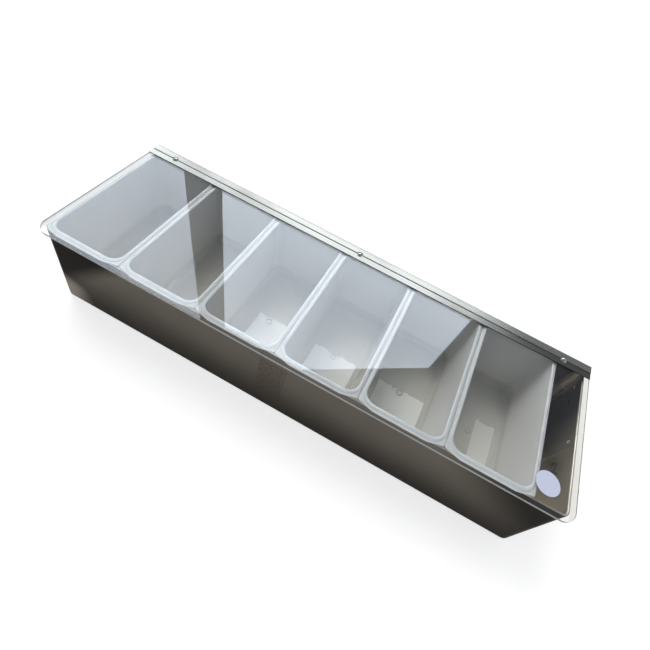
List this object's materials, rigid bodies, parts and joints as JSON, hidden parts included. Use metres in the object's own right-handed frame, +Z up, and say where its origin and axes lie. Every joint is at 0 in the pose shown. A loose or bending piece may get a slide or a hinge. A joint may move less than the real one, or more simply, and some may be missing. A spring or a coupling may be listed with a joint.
{
  "type": "condiment caddy with flip lid",
  "caption": "Long rectangular steel tray with a row of lift-out plastic condiment inserts under one clear full-length lid that flips up on a rear piano hinge.",
  "frame": {"origin": "middle of the whole caddy's footprint, on the resting face", "axes": "+X to the right along the tray, +Y to the rear where the hinge is, +Z up"},
  "size_m": [0.506, 0.1674, 0.0985],
  "materials": {
    "tray_steel": "bright rolled stainless steel",
    "rivet_steel": "polished rivet heads",
    "insert_plastic": "milky translucent moulded plastic",
    "clear_lid": "clear acrylic sheet",
    "strip_steel": "satin stainless steel",
    "hinge_steel": "plain stainless steel",
    "label_paper": "blank white label"
  },
  "bodies": {
    "tray_body": {"tray": "tray_steel", "seam_rivets": "rivet_steel", "rear_end_rivets": "rivet_steel", "hinge_rod": "hinge_steel", "rear_leaf": "hinge_steel", "leaf_rivets": "rivet_steel"},
    "lid": {"lid_sheet": "clear_lid", "round_label": "label_paper", "hinge_strip": "strip_steel", "strip_knuckles": "strip_steel", "lid_rivets": "rivet_steel"},
    "insert_1_body": {"insert_1": "insert_plastic"},
    "insert_2_body": {"insert_2": "insert_plastic"},
    "insert_3_body": {"insert_3": "insert_plastic"},
    "insert_4_body": {"insert_4": "insert_plastic"},
    "insert_5_body": {"insert_5": "insert_plastic"},
    "insert_6_body": {"insert_6": "insert_plastic"}
  },
  "joints": [
    {"name": "lid_hinge", "type": "hinge", "parent": "tray_body", "child": "lid", "pos_m": [0, 0.0817, 0.091], "axis": [-1, 0, 0], "range_deg": [0, 110]},
    {"name": "insert_1_slide", "type": "slide", "parent": "tray_body", "child": "insert_1_body", "axis": [1, 0, 0], "range_m": [0, 0.029]},
    {"name": "insert_2_slide", "type": "slide", "parent": "tray_body", "child": "insert_2_body", "axis": [1, 0, 0], "range_m": [0, 0.029]},
    {"name": "insert_3_slide", "type": "slide", "parent": "tray_body", "child": "insert_3_body", "axis": [1, 0, 0], "range_m": [0, 0.029]},
    {"name": "insert_4_slide", "type": "slide", "parent": "tray_body", "child": "insert_4_body", "axis": [1, 0, 0], "range_m": [0, 0.029]},
    {"name": "insert_5_slide", "type": "slide", "parent": "tray_body", "child": "insert_5_body", "axis": [1, 0, 0], "range_m": [0, 0.029]},
    {"name": "insert_6_slide", "type": "slide", "parent": "tray_body", "child": "insert_6_body", "axis": [1, 0, 0], "range_m": [0, 0.029]}
  ],
  "couplings": [
    {"joint": "insert_2_slide", "follows": "insert_1_slide", "ratio": 1},
    {"joint": "insert_3_slide", "follows": "insert_1_slide", "ratio": 1},
    {"joint": "insert_4_slide", "follows": "insert_1_slide", "ratio": 1},
    {"joint": "insert_5_slide", "follows": "insert_1_slide", "ratio": 1},
    {"joint": "insert_6_slide", "follows": "insert_1_slide", "ratio": 1}
  ]
}
